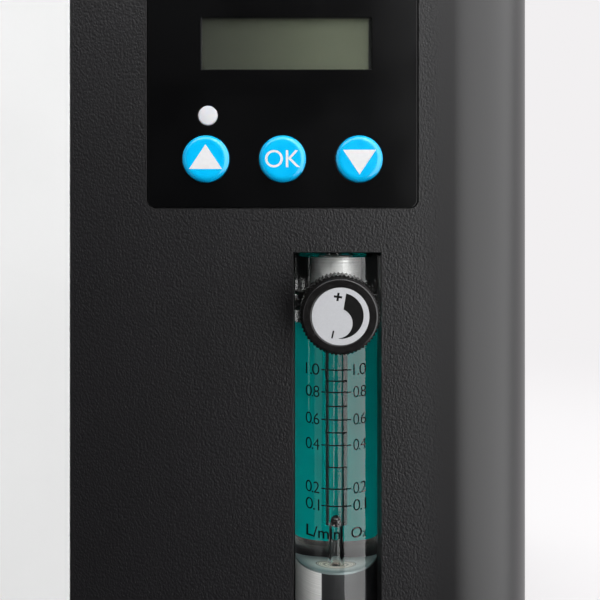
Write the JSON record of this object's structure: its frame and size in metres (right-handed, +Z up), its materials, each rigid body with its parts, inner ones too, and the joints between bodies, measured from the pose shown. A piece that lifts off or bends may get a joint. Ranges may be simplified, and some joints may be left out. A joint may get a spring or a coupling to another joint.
{
  "type": "veterinary anesthesia machine",
  "caption": "Table-top anesthesia unit: two-tone cabinet with display and blue keys, oxygen flowmeter with needle valve, and a syringe-fed vaporiser behind a clear door.",
  "frame": {"origin": "on the surface the feet stand on, below the middle of the object's box", "axes": "+Z up, the control panel and the flowmeter face -Y, +X is to the right seen from the front"},
  "size_m": [0.21, 0.224, 0.248],
  "materials": {
    "light_shell": "fine grained light moulding",
    "dark_shell": "grained black moulding",
    "grey_panel": "satin grey paint",
    "aluminium": "milled",
    "foot_rubber": "matt",
    "steel": "turned",
    "chrome": "nickel plated",
    "brass": "turned",
    "panel_black": "semi-gloss overlay",
    "window_clear": "clear window",
    "module_black": "satin black",
    "lcd_film": "grey-green display film",
    "lamp_white": "diffuse lens",
    "key_blue": "domed, glossy",
    "board_green": "solder mask",
    "ribbon_grey": "flat cable",
    "acrylic": "polished acrylic",
    "scale_teal": "teal scale card",
    "plug_black": "turned black plastic",
    "knob_black": "knurled",
    "disc_silver": "satin silver disc",
    "door_clear": "smoked clear",
    "white_plastic": "satin white",
    "syringe_clear": "clear",
    "heater_orange": "silicone heater",
    "tube_clear": "translucent tube"
  },
  "bodies": {
    "cabinet": {"left_housing": "light_shell", "right_housing": "dark_shell", "rear_panel": "grey_panel", "base_plate": "aluminium", "drive_frame": "aluminium", "vaporiser_block": "aluminium", "vaporiser_lid": "aluminium", "feet": "foot_rubber", "plug_seals": "foot_rubber", "foot_screws": "steel", "panel_screws": "steel", "door_pins": "steel", "clamp_post": "steel", "guide_rods": "steel", "screw_bearings": "steel", "top_plug": "steel", "gas_ports": "chrome", "valve_bonnet": "brass", "luer_inlet": "brass", "control_panel": "panel_black", "lcd_window": "window_clear", "lcd_module": "module_black", "flowmeter_bracket": "module_black", "bay_tray": "module_black", "drive_motor": "module_black", "switch_body": "module_black", "dc_jack": "module_black", "meter_elbows": "module_black", "lcd_glass": "lcd_film", "status_lamp": "lamp_white", "key_board": "board_green", "control_board": "board_green", "ribbon_cable": "ribbon_grey", "flowmeter_body": "acrylic", "scale_backing": "scale_teal", "bottom_plug": "plug_black", "syringe_cradle": "white_plastic", "syringe_barrel": "syringe_clear", "heater_pad": "heater_orange", "inlet_tube": "tube_clear", "meter_tube": "tube_clear", "vapour_tube": "tube_clear", "feed_tube": "tube_clear"},
    "up_key": {"up_key": "key_blue"},
    "ok_key": {"ok_key": "key_blue"},
    "down_key": {"down_key": "key_blue"},
    "float_ball": {"float_ball": "steel"},
    "valve_stem": {"valve_spindle": "steel"},
    "valve_knob": {"valve_knob": "knob_black", "knob_disc": "disc_silver"},
    "bay_door": {"bay_door": "door_clear", "door_pull": "module_black"},
    "clamp_arm": {"clamp_arm": "module_black"},
    "lead_screw": {"lead_screw": "steel"},
    "carriage": {"carriage": "aluminium", "drive_nut": "brass", "pusher_claw": "module_black"},
    "plunger": {"syringe_plunger": "white_plastic"},
    "power_rocker": {"switch_rocker": "module_black"}
  },
  "joints": [
    {"name": "up_key_press", "type": "slide", "parent": "cabinet", "child": "up_key", "axis": [0, 1, 0], "range_m": [0, 0.0006], "stiffness_N_per_m": 1500, "springref_m": -0.0003},
    {"name": "ok_key_press", "type": "slide", "parent": "cabinet", "child": "ok_key", "axis": [0, 1, 0], "range_m": [0, 0.0006], "stiffness_N_per_m": 1500, "springref_m": -0.0003},
    {"name": "down_key_press", "type": "slide", "parent": "cabinet", "child": "down_key", "axis": [0, 1, 0], "range_m": [0, 0.0006], "stiffness_N_per_m": 1500, "springref_m": -0.0003},
    {"name": "float_rise", "type": "slide", "parent": "cabinet", "child": "float_ball", "axis": [0, 0, 1], "range_m": [0, 0.056]},
    {"name": "stem_slide", "type": "slide", "parent": "cabinet", "child": "valve_stem", "axis": [0, -1, 0], "range_m": [0, 0.00225]},
    {"name": "knob_turn", "type": "hinge", "parent": "valve_stem", "child": "valve_knob", "pos_m": [0.0469, -0.106, 0.1308], "axis": [0, -1, 0], "range_deg": [0, 1620]},
    {"name": "door_swing", "type": "hinge", "parent": "cabinet", "child": "bay_door", "pos_m": [-0.0933, -0.0925, 0.13], "axis": [0, 0, -1], "range_deg": [0, 100]},
    {"name": "clamp_lift", "type": "hinge", "parent": "cabinet", "child": "clamp_arm", "pos_m": [-0.088, -0.0819, 0.092], "axis": [0, -1, 0], "range_deg": [0, 90]},
    {"name": "screw_turn", "type": "hinge", "parent": "cabinet", "child": "lead_screw", "pos_m": [-0.073, -0.026, 0.17], "axis": [0, 0, 1], "range_deg": [0, 10440]},
    {"name": "carriage_slide", "type": "slide", "parent": "cabinet", "child": "carriage", "axis": [0, 0, -1], "range_m": [0, 0.058]},
    {"name": "plunger_slide", "type": "slide", "parent": "cabinet", "child": "plunger", "axis": [0, 0, -1], "range_m": [0, 0.058]},
    {"name": "rocker_flip", "type": "hinge", "parent": "cabinet", "child": "power_rocker", "pos_m": [0.0669, 0.0925, 0.188], "axis": [1, 0, 0], "range_deg": [-18, 0]}
  ],
  "couplings": [
    {"joint": "stem_slide", "follows": "knob_turn", "m_per_rad": 0.000079577},
    {"joint": "screw_turn", "follows": "carriage_slide", "rad_per_m": 3141.5},
    {"joint": "plunger_slide", "follows": "carriage_slide", "ratio": 1}
  ]
}
